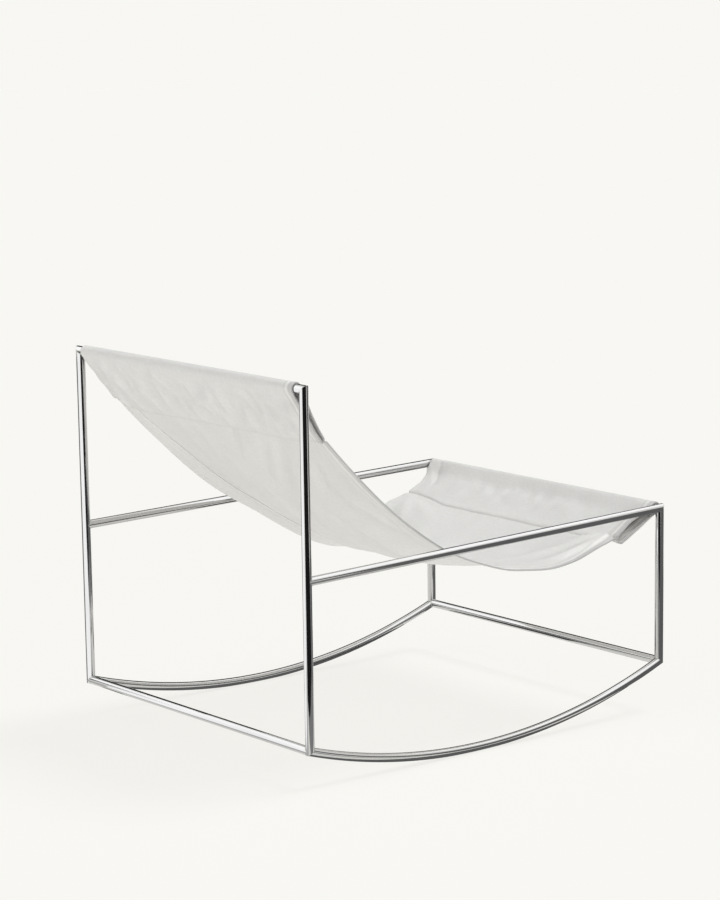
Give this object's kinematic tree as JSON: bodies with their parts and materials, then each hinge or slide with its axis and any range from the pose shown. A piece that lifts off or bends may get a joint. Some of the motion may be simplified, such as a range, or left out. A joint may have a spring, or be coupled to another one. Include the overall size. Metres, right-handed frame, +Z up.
{
  "type": "rocking chair",
  "caption": "Low rocking chair: a welded frame of slim polished steel tube on two curved rockers, with a canvas sling hung between the back bar and the seat bar.",
  "frame": {"origin": "on the floor, under the middle of the chair's outer box, with the chair at rest", "axes": "+Z up, +Y towards the back of the chair, so the sitter faces -Y; +X towards the sitter's left"},
  "size_m": [0.6504, 0.8936, 0.6922],
  "materials": {
    "steel": "polished",
    "weld": "satin",
    "canvas": "matte"
  },
  "bodies": {
    "root": {"left_rear_upright": "steel", "left_front_upright": "steel", "left_arm_rail": "steel", "left_rocker": "steel", "right_rear_upright": "steel", "right_front_upright": "steel", "right_arm_rail": "steel", "right_rocker": "steel", "back_bar": "steel", "seat_bar": "steel", "rear_floor_bar": "steel", "front_floor_bar": "steel", "left_heel_weld": "weld", "left_toe_weld": "weld", "left_front_corner_weld": "weld", "left_back_corner_weld": "weld", "left_arm_weld": "weld", "left_seat_bar_weld": "weld", "left_rear_floor_bar_weld": "weld", "left_front_floor_bar_weld": "weld", "right_heel_weld": "weld", "right_toe_weld": "weld", "right_front_corner_weld": "weld", "right_back_corner_weld": "weld", "right_arm_weld": "weld", "right_seat_bar_weld": "weld", "right_rear_floor_bar_weld": "weld", "right_front_floor_bar_weld": "weld", "sling": "canvas"}
  },
  "joints": []
}
